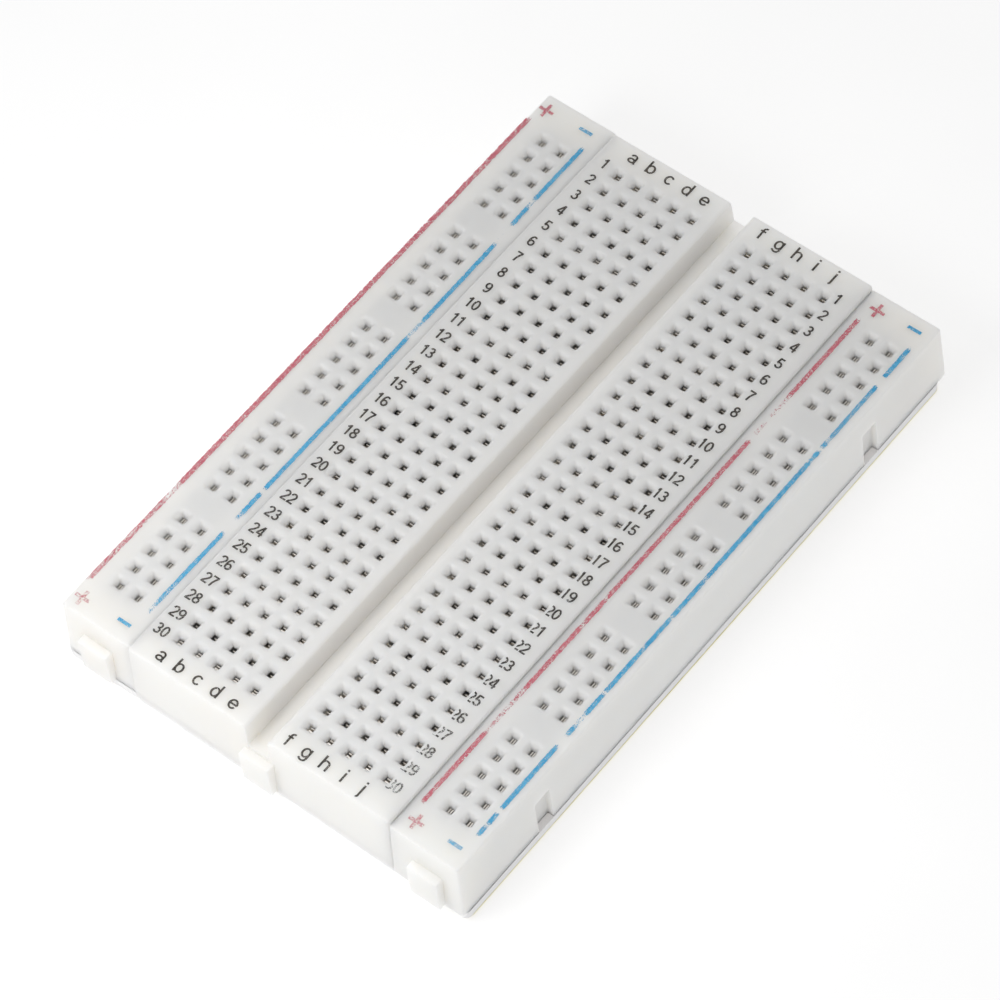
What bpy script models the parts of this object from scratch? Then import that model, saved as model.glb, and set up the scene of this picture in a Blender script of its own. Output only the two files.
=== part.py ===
"""Half-size solderless breadboard: a terminal strip between two power rails.

Units are metres, +Z is up, and rows run along Y with row 1 at the +Y end. The origin is the
centre of the bounding box's underside. Each moulding sits at an empty, with its contact clips
and its foam pad, so that it lifts off its neighbour as one body.
"""

import math
from collections import Counter

import bmesh
import bpy

MM = 0.001

# The tie-point grid.
PITCH = 2.54 * MM
ROWS = 30
HOLES_PER_GROUP = 5
GROUP_CENTRE_X = 3.5 * PITCH
RAIL_GROUPS = 5
RAIL_STEPS = RAIL_GROUPS * (HOLES_PER_GROUP + 1) - 1

# Heights from the surface that the board rests on.
LINER_TOP = 0.12 * MM
FOAM_BOTTOM = 0.17 * MM
FOAM_TOP = 0.95 * MM
CLIP_BOTTOM = 1.0 * MM
HOUSING_BOTTOM = 1.25 * MM
RAIL_TOP = 9.7 * MM
TERMINAL_TOP = 10.1 * MM

# The mouldings, narrower and shorter at the top than at the bottom.
HALF_LENGTH = 41.5 * MM
END_DRAFT = 0.5 * MM
TERMINAL_HALF_WIDTH = 17.5 * MM
TERMINAL_CHAMFER_WIDTH = 0.2 * MM
TERMINAL_CHAMFER_HEIGHT = 0.3 * MM
RAVINE_HALF_WIDTH_TOP = 1.5 * MM
RAVINE_HALF_WIDTH_FLOOR = 1.4 * MM
RAVINE_DEPTH = 3.3 * MM
RAIL_CENTRE_X = 22.5 * MM
RAIL_HALF_WIDTH = 4.7 * MM
RAIL_OUTER_DRAFT = 0.3 * MM
LEFT_RAIL_SHIFT = 0.35 * MM
RIGHT_RAIL_SHIFT = -0.1 * MM

# A hole narrows from its mouth to its throat, and opens into the pocket of its clip.
HOLE_HALF_MOUTH = 0.9 * MM
HOLE_HALF_THROAT = 0.36 * MM
HOLE_DEPTH = 1.4 * MM
POCKET_HALF_WIDTH = 0.95 * MM
POCKET_END = 1.15 * MM

# Joining tabs, and the slots that take them.
TAB_DEPTH = 0.8 * MM
TAB_ROOT = 0.6 * MM
TAB_HEIGHT = 5.0 * MM
SLOT_DEPTH = 1.05 * MM
SLOT_HEIGHT = 5.3 * MM
SIDE_TAB_Y = 27.9 * MM
SIDE_TAB_HALF_WIDTH = 0.75 * MM
SIDE_SLOT_HALF_WIDTH = 1.2 * MM
END_TAB_HALF_WIDTH = 2.0 * MM
END_SLOT_HALF_WIDTH = 2.2 * MM

# The spring clip's section: a flat base, two legs that lean in to a pinch, and flared lips.
CLIP_SHEET = 0.15 * MM
CLIP_BASE_HALF = 0.7 * MM
CLIP_PINCH_HALF = 0.3 * MM
CLIP_PINCH_HEIGHT = 6.1 * MM
CLIP_LIP_HALF = 0.6 * MM
CLIP_LIP_HEIGHT = 7.1 * MM
CLIP_END = 0.95 * MM

# The foam tape and its liner.
FOAM_LEFT = -(RAIL_CENTRE_X + RAIL_HALF_WIDTH + TAB_DEPTH)
FOAM_RIGHT = 27.0 * MM
FOAM_NEAR = -41.2 * MM
FOAM_FAR = 40.3 * MM
FOAM_SEAM_X = 17.65 * MM
FOAM_SEAM_GAP = 0.3 * MM
FOAM_CORNER = 1.2 * MM
FOAM_NOTCH_DEPTH = 0.75 * MM

OVERCUT = 0.2 * MM

# The grid's centre lies off the box's centre, because the tabs stand out on two sides only.
NEAR_REACH = HALF_LENGTH + TAB_DEPTH - RIGHT_RAIL_SHIFT
FAR_REACH = HALF_LENGTH + LEFT_RAIL_SHIFT
GRID_X = TAB_DEPTH / 2
GRID_Y = (NEAR_REACH - FAR_REACH) / 2


def clear_scene():
    for item in list(bpy.data.objects):
        bpy.data.objects.remove(item, do_unlink=True)


def make_material(name, colour, roughness, metallic=0.0):
    material = bpy.data.materials.new(name)
    material.use_nodes = True
    shader = material.node_tree.nodes["Principled BSDF"]
    shader.inputs["Base Color"].default_value = (*colour, 1.0)
    shader.inputs["Roughness"].default_value = roughness
    shader.inputs["Metallic"].default_value = metallic
    return material


def mesh_from(name, bm):
    bmesh.ops.recalc_face_normals(bm, faces=bm.faces)
    mesh = bpy.data.meshes.new(name)
    bm.to_mesh(mesh)
    bm.free()
    return mesh


def add_object(name, mesh, parent, location=(0, 0, 0)):
    item = bpy.data.objects.new(name, mesh)
    bpy.context.collection.objects.link(item)
    item.parent = parent
    item.location = location
    return item


def add_body(name, x, y):
    """An empty at the centre of a moulding's footprint, in the board's frame."""
    body = bpy.data.objects.new(name, None)
    bpy.context.collection.objects.link(body)
    body.location = (GRID_X + x, GRID_Y + y, 0)
    return body


def add_box(bm, low, high):
    """A box from its lowest to its highest corner."""
    corners = bmesh.ops.create_cube(bm, size=1)["verts"]
    for vert in corners:
        for axis in range(3):
            vert.co[axis] = high[axis] if vert.co[axis] > 0 else low[axis]


def add_hole(bm, x, y, top):
    """A square funnel from above the surface at height top down into the pocket."""
    slope = (HOLE_HALF_MOUTH - HOLE_HALF_THROAT) / HOLE_DEPTH
    levels = (top - HOLE_DEPTH - OVERCUT, top + OVERCUT)
    corners = bmesh.ops.create_cube(bm, size=1)["verts"]
    for vert in corners:
        height = levels[vert.co.z > 0]
        half = HOLE_HALF_MOUTH + (height - top) * slope
        vert.co.x = x + (half if vert.co.x > 0 else -half)
        vert.co.y = y + (half if vert.co.y > 0 else -half)
        vert.co.z = height


def drafted_block(profile):
    """An XZ outline extruded along Y, shorter the higher it is."""
    bm = bmesh.new()
    ends = []
    for side in (-1, 1):
        ring = []
        for x, z in profile:
            rise = (z - HOUSING_BOTTOM) / (RAIL_TOP - HOUSING_BOTTOM)
            ring.append(bm.verts.new((x, side * (HALF_LENGTH - END_DRAFT * rise), z)))
        bm.faces.new(ring)
        ends.append(ring)
    near, far = ends
    for index in range(len(profile)):
        nxt = (index + 1) % len(profile)
        bm.faces.new((near[index], near[nxt], far[nxt], far[index]))
    return bm


def cut_or_join(target, name, bm, operation):
    """Cuts a wire-drawn tool's shapes from the target, or joins them to it."""
    tool = add_object(name, mesh_from(name, bm), target.parent)
    tool.display_type = "WIRE"
    tool.hide_render = True
    modifier = target.modifiers.new(name, "BOOLEAN")
    modifier.operation = operation
    modifier.object = tool
    modifier.solver = "EXACT"


def add_joining_features(housing, half_width):
    """Tabs on the -X side and the -Y end, with matching slots on the +X side and +Y end."""
    tabs = bmesh.new()
    slots = bmesh.new()
    tab_top = HOUSING_BOTTOM + TAB_HEIGHT
    slot_top = HOUSING_BOTTOM + SLOT_HEIGHT
    slot_bottom = HOUSING_BOTTOM - OVERCUT
    for y in (-SIDE_TAB_Y, SIDE_TAB_Y):
        add_box(tabs, (-half_width - TAB_DEPTH, y - SIDE_TAB_HALF_WIDTH, HOUSING_BOTTOM),
                (-half_width + TAB_ROOT, y + SIDE_TAB_HALF_WIDTH, tab_top))
        add_box(slots, (half_width - SLOT_DEPTH, y - SIDE_SLOT_HALF_WIDTH, slot_bottom),
                (half_width + OVERCUT, y + SIDE_SLOT_HALF_WIDTH, slot_top))
    add_box(tabs, (-END_TAB_HALF_WIDTH, -HALF_LENGTH - TAB_DEPTH, HOUSING_BOTTOM),
            (END_TAB_HALF_WIDTH, -HALF_LENGTH + TAB_ROOT, tab_top))
    add_box(slots, (-END_SLOT_HALF_WIDTH, HALF_LENGTH - SLOT_DEPTH, slot_bottom),
            (END_SLOT_HALF_WIDTH, HALF_LENGTH + OVERCUT, slot_top))
    cut_or_join(housing, housing.name + "_tabs", tabs, "UNION")
    cut_or_join(housing, housing.name + "_slots", slots, "DIFFERENCE")


def row_y(row):
    """Centre of a terminal row, counted from 0 at the +Y end."""
    return ((ROWS - 1) / 2 - row) * PITCH


def rail_hole_positions():
    """Y of each hole in a power rail column: groups of five with one step left blank."""
    steps = [step for step in range(RAIL_STEPS) if step % (HOLES_PER_GROUP + 1) < HOLES_PER_GROUP]
    return [((RAIL_STEPS - 1) / 2 - step) * PITCH for step in steps]


def terminal_profile():
    shoulder = TERMINAL_TOP - TERMINAL_CHAMFER_HEIGHT
    crown = TERMINAL_HALF_WIDTH - TERMINAL_CHAMFER_WIDTH
    floor = TERMINAL_TOP - RAVINE_DEPTH
    right = [
        (TERMINAL_HALF_WIDTH, HOUSING_BOTTOM),
        (TERMINAL_HALF_WIDTH, shoulder),
        (crown, TERMINAL_TOP),
        (RAVINE_HALF_WIDTH_TOP, TERMINAL_TOP),
        (RAVINE_HALF_WIDTH_FLOOR, floor),
    ]
    left = [(-x, z) for x, z in reversed(right)]
    return right + left


def rail_profile(outer_side):
    """A rail's outline: upright beside the terminal strip, drafted on its outer side, -1 or 1."""
    inner = -outer_side * RAIL_HALF_WIDTH
    outer = outer_side * RAIL_HALF_WIDTH
    outer_top = outer_side * (RAIL_HALF_WIDTH - RAIL_OUTER_DRAFT)
    return [(inner, HOUSING_BOTTOM), (outer, HOUSING_BOTTOM), (outer_top, RAIL_TOP), (inner, RAIL_TOP)]


def add_terminal_housing(body, material):
    mesh = mesh_from("terminal_housing", drafted_block(terminal_profile()))
    housing = add_object("terminal_housing", mesh, body)
    housing.data.materials.append(material)
    add_joining_features(housing, TERMINAL_HALF_WIDTH)
    pockets = bmesh.new()
    holes = bmesh.new()
    half_row = (HOLES_PER_GROUP - 1) / 2 * PITCH
    ceiling = TERMINAL_TOP - HOLE_DEPTH
    for row in range(ROWS):
        y = row_y(row)
        for centre in (-GROUP_CENTRE_X, GROUP_CENTRE_X):
            reach = half_row + POCKET_END
            add_box(pockets, (centre - reach, y - POCKET_HALF_WIDTH, HOUSING_BOTTOM - OVERCUT),
                    (centre + reach, y + POCKET_HALF_WIDTH, ceiling))
            for column in range(HOLES_PER_GROUP):
                add_hole(holes, centre - half_row + column * PITCH, y, TERMINAL_TOP)
    cut_or_join(housing, "terminal_pockets", pockets, "DIFFERENCE")
    cut_or_join(housing, "terminal_holes", holes, "DIFFERENCE")


def add_rail_housing(name, body, material, outer_side):
    housing = add_object(name, mesh_from(name, drafted_block(rail_profile(outer_side))), body)
    housing.data.materials.append(material)
    add_joining_features(housing, RAIL_HALF_WIDTH)
    pockets = bmesh.new()
    holes = bmesh.new()
    positions = rail_hole_positions()
    reach = positions[0] + POCKET_END
    for x in (-PITCH / 2, PITCH / 2):
        add_box(pockets, (x - POCKET_HALF_WIDTH, -reach, HOUSING_BOTTOM - OVERCUT),
                (x + POCKET_HALF_WIDTH, reach, RAIL_TOP - HOLE_DEPTH))
        for y in positions:
            add_hole(holes, x, y, RAIL_TOP)
    cut_or_join(housing, name + "_pockets", pockets, "DIFFERENCE")
    cut_or_join(housing, name + "_holes", holes, "DIFFERENCE")


def clip_cells():
    """The clip's section as three (offset, height) polygons: its base and its two legs."""
    base = [(CLIP_BASE_HALF, 0.0), (CLIP_BASE_HALF - CLIP_SHEET, CLIP_SHEET)]
    leg = [
        base[0],
        (CLIP_PINCH_HALF, CLIP_PINCH_HEIGHT),
        (CLIP_LIP_HALF, CLIP_LIP_HEIGHT),
        (CLIP_LIP_HALF - CLIP_SHEET, CLIP_LIP_HEIGHT),
        (CLIP_PINCH_HALF - CLIP_SHEET, CLIP_PINCH_HEIGHT),
        base[1],
    ]
    mirrored_leg = [(-y, z) for y, z in leg]
    floor = [base[0], base[1], mirrored_leg[-1], mirrored_leg[0]]
    return floor, [leg, mirrored_leg]


def clip_mesh(name, stations):
    """A clip along X. Legs stand between stations 0 and 1, 2 and 3, and so on; the base runs through."""
    floor, legs = clip_cells()
    verts = {}
    faces = []
    for index in range(len(stations) - 1):
        start, end = stations[index], stations[index + 1]
        cells = [floor] + (legs if index % 2 == 0 else [])
        for cell in cells:
            near = [(start, y, z) for y, z in cell]
            far = [(end, y, z) for y, z in cell]
            faces += [near, far]
            for corner in range(len(cell)):
                nxt = (corner + 1) % len(cell)
                faces.append([near[corner], near[nxt], far[nxt], far[corner]])
    uses = Counter(frozenset(face) for face in faces)
    bm = bmesh.new()
    for face in faces:
        if uses[frozenset(face)] > 1:
            continue
        for point in face:
            if point not in verts:
                verts[point] = bm.verts.new(point)
        bm.faces.new([verts[point] for point in face])
    return mesh_from(name, bm)


def add_row_clips(body, material):
    """One node for each row: the clips of columns a to e and f to j, tied by a strip under the block."""
    half_row = (HOLES_PER_GROUP - 1) / 2 * PITCH
    inner = GROUP_CENTRE_X - half_row - CLIP_END
    outer = GROUP_CENTRE_X + half_row + CLIP_END
    mesh = clip_mesh("clip_row", [-outer, -inner, inner, outer])
    mesh.materials.append(material)
    for row in range(ROWS):
        add_object(f"clip_row_{row + 1:02d}", mesh, body, (0, row_y(row), CLIP_BOTTOM))


def add_bus_clips(side, body, material):
    reach = rail_hole_positions()[0] + CLIP_END
    mesh = clip_mesh("bus_clip", [-reach, reach])
    mesh.materials.append(material)
    for sign, x in (("plus", -PITCH / 2), ("minus", PITCH / 2)):
        clip = add_object(f"bus_clip_{side}_{sign}", mesh, body, (x, 0, CLIP_BOTTOM))
        clip.rotation_euler.z = math.pi / 2


def add_plate(name, body, material, x_span, heights, rounded_sides):
    """A foam pad or the liner, between two X values of the board's frame, with rounded free corners."""
    offset = body.location
    bm = bmesh.new()
    low = (x_span[0] + GRID_X - offset.x, FOAM_NEAR + GRID_Y - offset.y, heights[0])
    high = (x_span[1] + GRID_X - offset.x, FOAM_FAR + GRID_Y - offset.y, heights[1])
    add_box(bm, low, high)
    corners = []
    for edge in bm.edges:
        a, b = (vert.co for vert in edge.verts)
        upright = abs(a.z - b.z) > abs(a.x - b.x) + abs(a.y - b.y)
        side = -1 if a.x < (low[0] + high[0]) / 2 else 1
        if upright and side in rounded_sides:
            corners.append(edge)
    if corners:
        bmesh.ops.bevel(bm, geom=corners, offset=FOAM_CORNER, segments=3, profile=0.5, affect="EDGES")
    plate = add_object(name, mesh_from(name, bm), body)
    plate.data.materials.append(material)
    return plate


def notch_pad(pad, right_edge, tab_shift):
    """Clears a pad's +X edge round the neighbour's tabs, so that the pad lifts past them."""
    offset = pad.parent.location
    edge = right_edge + GRID_X - offset.x
    notches = bmesh.new()
    for side in (-1, 1):
        y = side * SIDE_TAB_Y + tab_shift + GRID_Y - offset.y
        add_box(notches, (edge - FOAM_NOTCH_DEPTH, y - SIDE_SLOT_HALF_WIDTH, FOAM_BOTTOM - OVERCUT),
                (edge + OVERCUT, y + SIDE_SLOT_HALF_WIDTH, FOAM_TOP + OVERCUT))
    cut_or_join(pad, pad.name + "_notches", notches, "DIFFERENCE")


def build():
    clear_scene()
    plastic = make_material("white_plastic", (0.82, 0.82, 0.80), 0.42)
    nickel = make_material("nickel_plated_bronze", (0.72, 0.70, 0.66), 0.3, 1.0)
    foam = make_material("white_foam", (0.83, 0.82, 0.86), 0.9)
    waxed_paper = make_material("yellow_liner", (0.86, 0.74, 0.32), 0.5)

    terminal = add_body("terminal_strip", 0, 0)
    left = add_body("left_rail", -RAIL_CENTRE_X, LEFT_RAIL_SHIFT)
    right = add_body("right_rail", RAIL_CENTRE_X, RIGHT_RAIL_SHIFT)
    sheet = add_body("liner_sheet", 0, 0)

    add_terminal_housing(terminal, plastic)
    add_row_clips(terminal, nickel)
    add_rail_housing("power_rail_left", left, plastic, -1)
    add_rail_housing("power_rail_right", right, plastic, 1)
    add_bus_clips("left", left, nickel)
    add_bus_clips("right", right, nickel)

    pad = (FOAM_BOTTOM, FOAM_TOP)
    seam = (FOAM_SEAM_X - FOAM_SEAM_GAP / 2, FOAM_SEAM_X + FOAM_SEAM_GAP / 2)
    pad_left = add_plate("foam_pad_left", left, foam, (FOAM_LEFT, -seam[1]), pad, (-1,))
    pad_middle = add_plate("foam_pad_middle", terminal, foam, (-seam[0], seam[0]), pad, ())
    add_plate("foam_pad_right", right, foam, (seam[1], FOAM_RIGHT), pad, (1,))
    notch_pad(pad_left, -seam[1], 0)
    notch_pad(pad_middle, seam[0], RIGHT_RAIL_SHIFT)
    add_plate("release_liner", sheet, waxed_paper, (FOAM_LEFT, FOAM_RIGHT), (0, LINER_TOP), (-1, 1))


build()
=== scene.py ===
"""Looks of the half-size solderless breadboard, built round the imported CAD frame.

Mouldings are closed meshes on irregular grids: every tie point is a rounded square funnel over an
open pocket, with a sprung contact clip inside. Print, foam tape and liner are pieces of their own.
Lengths are in metres. Positions come from the CAD nodes; the constants below are finer details.
"""

import math
import random

import bmesh
import bpy
from mathutils import Matrix, Vector, noise


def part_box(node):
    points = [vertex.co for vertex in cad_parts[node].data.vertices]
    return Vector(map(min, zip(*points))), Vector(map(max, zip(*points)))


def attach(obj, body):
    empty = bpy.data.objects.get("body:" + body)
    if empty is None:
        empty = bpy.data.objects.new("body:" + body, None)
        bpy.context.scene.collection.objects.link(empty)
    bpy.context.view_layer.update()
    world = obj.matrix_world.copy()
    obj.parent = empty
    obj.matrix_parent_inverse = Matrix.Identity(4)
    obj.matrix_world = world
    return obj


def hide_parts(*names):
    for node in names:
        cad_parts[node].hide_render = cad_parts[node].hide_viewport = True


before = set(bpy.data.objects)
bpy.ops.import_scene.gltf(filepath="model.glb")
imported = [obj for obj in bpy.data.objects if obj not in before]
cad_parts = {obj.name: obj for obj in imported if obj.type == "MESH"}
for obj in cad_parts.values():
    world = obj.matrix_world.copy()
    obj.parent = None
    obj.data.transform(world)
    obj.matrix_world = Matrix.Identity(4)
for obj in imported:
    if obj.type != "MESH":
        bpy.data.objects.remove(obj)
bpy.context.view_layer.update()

MM = 0.001
PITCH = 2.54 * MM
ROWS = 30
GROUP = 5
RAIL_GROUPS = 5

# Lines of one tie-point tile, from its centre: the pocket wall is the inner pair.
POCKET_HALF = 0.95 * MM
TILE_LINES = [-PITCH / 2, -POCKET_HALF, 0.0, POCKET_HALF]

# A hole's rings from its lip to its throat, as a bell: half width, corner radius, depth.
HOLE_RINGS = [
    (1.04, 0.44, 0.00),
    (0.97, 0.42, 0.015),
    (0.87, 0.38, 0.05),
    (0.75, 0.32, 0.13),
    (0.63, 0.26, 0.25),
    (0.52, 0.20, 0.41),
    (0.42, 0.13, 0.61),
    (0.36, 0.08, 0.76),
    (0.335, 0.03, 0.84),
    (0.33, 0.03, 1.00),
]
HOLE_DEPTH = HOLE_RINGS[-1][2] * MM

LONGEST_CELL = 1.3 * MM
RAVINE_HALF_TOP = 1.5 * MM
RAVINE_HALF_FLOOR = 1.4 * MM
RAVINE_DEPTH = 3.3 * MM
EDGE_STEPS = [0.0, 0.06, 0.22, 0.52, 1.0]
CORNER_RADIUS = 0.28 * MM
END_DRAFT = 0.5 * MM
END_ROUNDING = (0.14 * MM, 0.14 * MM)

# Roundings along the sides: how far in they reach, and how far they fall.
TERMINAL_ROUNDING = (0.26 * MM, 0.26 * MM)
RAVINE_ROUNDING = (0.45 * MM, 0.35 * MM)
RAIL_OUTER_ROUNDING = (0.25 * MM, 0.25 * MM)
RAIL_INNER_ROUNDING = (0.06 * MM, 0.06 * MM)

# The mouldings slide together with hardly a gap, whatever clearance the CAD leaves.
TERMINAL_GROWTH = 0.12 * MM
RAIL_INNER_GROWTH = 0.174 * MM
RAIL_OUTER_TOP = {"left": 4.6 * MM, "right": 4.15 * MM}
RAIL_OUTER_DRAFT = {"left": 0.1 * MM, "right": 0.3 * MM}

# Joining tabs and slots: the side ones are narrow, the end ones wide.
TAB_DEPTH = 0.8 * MM
TAB_ROOT = 0.6 * MM
TAB_HEIGHT = 5.0 * MM
SIDE_TAB_HALF = 0.75 * MM
END_TAB_HALF = 2.0 * MM
SLOT_DEPTH = 1.05 * MM
SLOT_HEIGHT = 5.3 * MM
SIDE_SLOT_HALF = 1.2 * MM
END_SLOT_HALF = 2.2 * MM
SIDE_TAB_Y = 27.9 * MM
TAB_BEVEL = 0.18 * MM
NOTCH_DEPTH = 0.75 * MM
NOTCH_HALF = 1.22 * MM


def centre_of(node):
    low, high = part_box(node)
    return (low + high) / 2


ROW_CENTRES = [centre_of(f"clip_row_{row + 1:02d}") for row in range(ROWS)]
GRID = (ROW_CENTRES[0] + ROW_CENTRES[-1]) / 2
TERMINAL_LOW, TERMINAL_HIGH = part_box("terminal_housing")


# ------------ small mesh helpers

def link(name, mesh):
    piece = bpy.data.objects.new(name, mesh)
    bpy.context.scene.collection.objects.link(piece)
    return piece


def mesh_from_bmesh(name, bm):
    mesh = bpy.data.meshes.new(name)
    bm.to_mesh(mesh)
    bm.free()
    return mesh


def smooth(mesh, degrees=38.0):
    mesh.shade_smooth()
    mesh.set_sharp_from_angle(angle=math.radians(degrees))


def bake_modifiers(piece):
    """Replaces the piece's mesh by what its modifiers make of it."""
    graph = bpy.context.evaluated_depsgraph_get()
    mesh = bpy.data.meshes.new_from_object(piece.evaluated_get(graph))
    piece.modifiers.clear()
    piece.data = mesh
    return mesh


def place(piece, body, slot, *nodes):
    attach(piece, body)
    if nodes:
        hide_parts(*nodes)
    return piece


def add_box(bm, low, high):
    verts = bmesh.ops.create_cube(bm, size=1)["verts"]
    for vert in verts:
        for axis in range(3):
            vert.co[axis] = high[axis] if vert.co[axis] > 0 else low[axis]
    return verts


# ------------ mouldings

def drop(distance, reach, fall):
    """How far a rounded edge has fallen at this distance from it: a quarter ellipse."""
    if distance >= reach:
        return 0.0
    share = (reach - max(distance, 0.0)) / reach
    return fall * (1 - math.sqrt(1 - share * share))


def ring_points(half, corner):
    """Sixteen points round a rounded square, from its low left diagonal, anticlockwise."""
    straight = half - corner
    diagonal = straight + corner * math.sqrt(0.5)
    side = [(-diagonal, -diagonal), (-straight, -half), (0.0, -half), (straight, -half)]
    points = []
    for turn in range(4):
        c, s = round(math.cos(turn * math.pi / 2)), round(math.sin(turn * math.pi / 2))
        points += [(c * x - s * y, s * x + c * y) for x, y in side]
    return points


class Moulding:
    """A block on a grid of X and Y lines. A cell is solid, over a pocket, or in the ravine."""

    SOLID, POCKET, RAVINE = range(3)

    def __init__(self, xs, ys, top, bottom, rounding, drafts):
        self.xs, self.ys = xs, ys
        self.heights = {
            "top": top, "bottom": bottom, "ceiling": top - HOLE_DEPTH, "floor": top - RAVINE_DEPTH,
        }
        self.rounding = rounding
        self.drafts = drafts
        self.kind = [[self.SOLID] * (len(ys) - 1) for _ in range(len(xs) - 1)]
        self.open_top = set()
        self.open_ceiling = set()
        self.index = {}
        self.verts = []
        self.faces = []

    def line(self, values, value):
        return min(range(len(values)), key=lambda k: abs(values[k] - value))

    def mark(self, x_span, y_span, kind):
        columns = range(self.line(self.xs, x_span[0]), self.line(self.xs, x_span[1]))
        rows = range(self.line(self.ys, y_span[0]), self.line(self.ys, y_span[1]))
        for i in columns:
            for j in rows:
                self.kind[i][j] = kind

    def shaped(self, x, y, level):
        """Where a grid point lies once edges are rounded, corners turned and walls drafted."""
        z = self.heights[level]
        if level == "top":
            for edge, reach, fall in self.rounding:
                z -= drop(abs(x - edge), reach, fall)
            z -= drop(min(y - self.ys[0], self.ys[-1] - y), *END_ROUNDING)
        x0, x1, y0, y1 = self.xs[0], self.xs[-1], self.ys[0], self.ys[-1]
        u = 1 - min(x - x0, x1 - x) / CORNER_RADIUS
        v = 1 - min(y - y0, y1 - y) / CORNER_RADIUS
        middle_x, middle_y = (x0 + x1) / 2, (y0 + y1) / 2
        side_x = math.copysign(1, x - middle_x)
        side_y = math.copysign(1, y - middle_y)
        if u > 0 and v > 0:
            pull = max(u, v) / math.hypot(u, v)
            x = side_x * (abs(x - middle_x) - CORNER_RADIUS * u * (1 - pull)) + middle_x
            y = side_y * (abs(y - middle_y) - CORNER_RADIUS * v * (1 - pull)) + middle_y
        rise = (z - self.heights["bottom"]) / (self.heights["top"] - self.heights["bottom"])
        outer_x = max(0.0, 1 - min(x - x0, x1 - x) / (0.8 * MM))
        outer_y = max(0.0, 1 - min(y - y0, y1 - y) / (0.8 * MM))
        x += side_x * self.drafts[side_x > 0] * (1 - rise) * min(outer_x, 1)
        y += side_y * END_DRAFT * (1 - rise) * min(outer_y, 1)
        if level == "floor":
            x = middle_x + (x - middle_x) * RAVINE_HALF_FLOOR / RAVINE_HALF_TOP
        return (x, y, z)

    def vertex(self, i, j, level):
        key = (i, j, level)
        if key not in self.index:
            self.index[key] = len(self.verts)
            self.verts.append(self.shaped(self.xs[i], self.ys[j], level))
        return self.index[key]

    def ring(self, cx, cy, half, corner, depth):
        first = len(self.verts)
        z = self.heights["top"] - depth * MM
        self.verts += [(cx + x * MM, cy + y * MM, z) for x, y in ring_points(half, corner)]
        return list(range(first, first + 16))

    def add_hole(self, cx, cy):
        """A rounded square funnel, and the face round its throat in the pocket's ceiling."""
        i, j = self.line(self.xs, cx), self.line(self.ys, cy)
        for di in range(-2, 2):
            for dj in range(-2, 2):
                self.open_top.add((i + di, j + dj))
        for di in range(-1, 1):
            for dj in range(-1, 1):
                self.open_ceiling.add((i + di, j + dj))
        steps = [(k, -2) for k in range(-2, 2)] + [(2, k) for k in range(-2, 2)]
        steps += [(-k, 2) for k in range(-2, 2)] + [(-2, -k) for k in range(-2, 2)]
        outer = [self.vertex(i + di, j + dj, "top") for di, dj in steps]
        for half, corner, depth in HOLE_RINGS:
            inner = self.ring(cx, cy, half, corner, depth)
            for k in range(16):
                nxt = (k + 1) % 16
                self.faces.append((outer[k], outer[nxt], inner[nxt], inner[k]))
            outer = inner
        steps = [(-1, -1), (0, -1), (1, -1), (1, 0), (1, 1), (0, 1), (-1, 1), (-1, 0)]
        square = [self.vertex(i + di, j + dj, "ceiling") for di, dj in steps]
        for k in range(8):
            nxt = (k + 1) % 8
            throat = [outer[(2 * k + step) % 16] for step in (2, 1, 0)]
            self.faces.append((square[k], square[nxt], *throat))

    def kind_at(self, i, j):
        if 0 <= i < len(self.xs) - 1 and 0 <= j < len(self.ys) - 1:
            return self.kind[i][j]
        return None

    def wall(self, a, b, one, other):
        """The upright face between two neighbouring cells, on the edge from node a to node b."""
        kinds = {one, other}
        if one == other or kinds == {None}:
            return
        if None in kinds:
            levels = ["bottom", "floor"] if self.RAVINE in kinds else ["bottom", "top"]
        elif self.POCKET in kinds:
            levels = ["bottom", "ceiling"]
        else:
            levels = ["floor", "top"]
        up = [self.vertex(*b, level) for level in self.chain(b, levels)]
        down = [self.vertex(*a, level) for level in reversed(self.chain(a, levels))]
        self.faces.append(tuple(up + down))

    def chain(self, node, levels):
        """A wall edge's levels, with the ravine's floor between them where a ravine cell meets it."""
        if levels != ["bottom", "top"]:
            return levels
        i, j = node
        around = {self.kind_at(i + di, j + dj) for di in (-1, 0) for dj in (-1, 0)}
        return ["bottom", "floor", "top"] if self.RAVINE in around else levels

    def build(self, name):
        for i in range(len(self.xs) - 1):
            for j in range(len(self.ys) - 1):
                corners = [(i, j), (i + 1, j), (i + 1, j + 1), (i, j + 1)]
                kind = self.kind[i][j]
                if kind == self.RAVINE:
                    self.faces.append(tuple(self.vertex(*c, "floor") for c in corners))
                elif (i, j) not in self.open_top:
                    self.faces.append(tuple(self.vertex(*c, "top") for c in corners))
                if kind != self.POCKET:
                    self.faces.append(tuple(self.vertex(*c, "bottom") for c in reversed(corners)))
                elif (i, j) not in self.open_ceiling:
                    self.faces.append(tuple(self.vertex(*c, "ceiling") for c in reversed(corners)))
        for i in range(len(self.xs)):
            for j in range(len(self.ys) - 1):
                self.wall((i, j), (i, j + 1), self.kind_at(i - 1, j), self.kind_at(i, j))
        for i in range(len(self.xs) - 1):
            for j in range(len(self.ys)):
                self.wall((i, j), (i + 1, j), self.kind_at(i, j - 1), self.kind_at(i, j))
        mesh = bpy.data.meshes.new(name)
        mesh.from_pydata(self.verts, [], self.faces)
        bm = bmesh.new()
        bm.from_mesh(mesh)
        bmesh.ops.recalc_face_normals(bm, faces=bm.faces)
        bm.to_mesh(mesh)
        bm.free()
        return mesh


def edge_lines(edge, reach, inward):
    return [edge + inward * reach * step for step in EDGE_STEPS]


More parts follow.
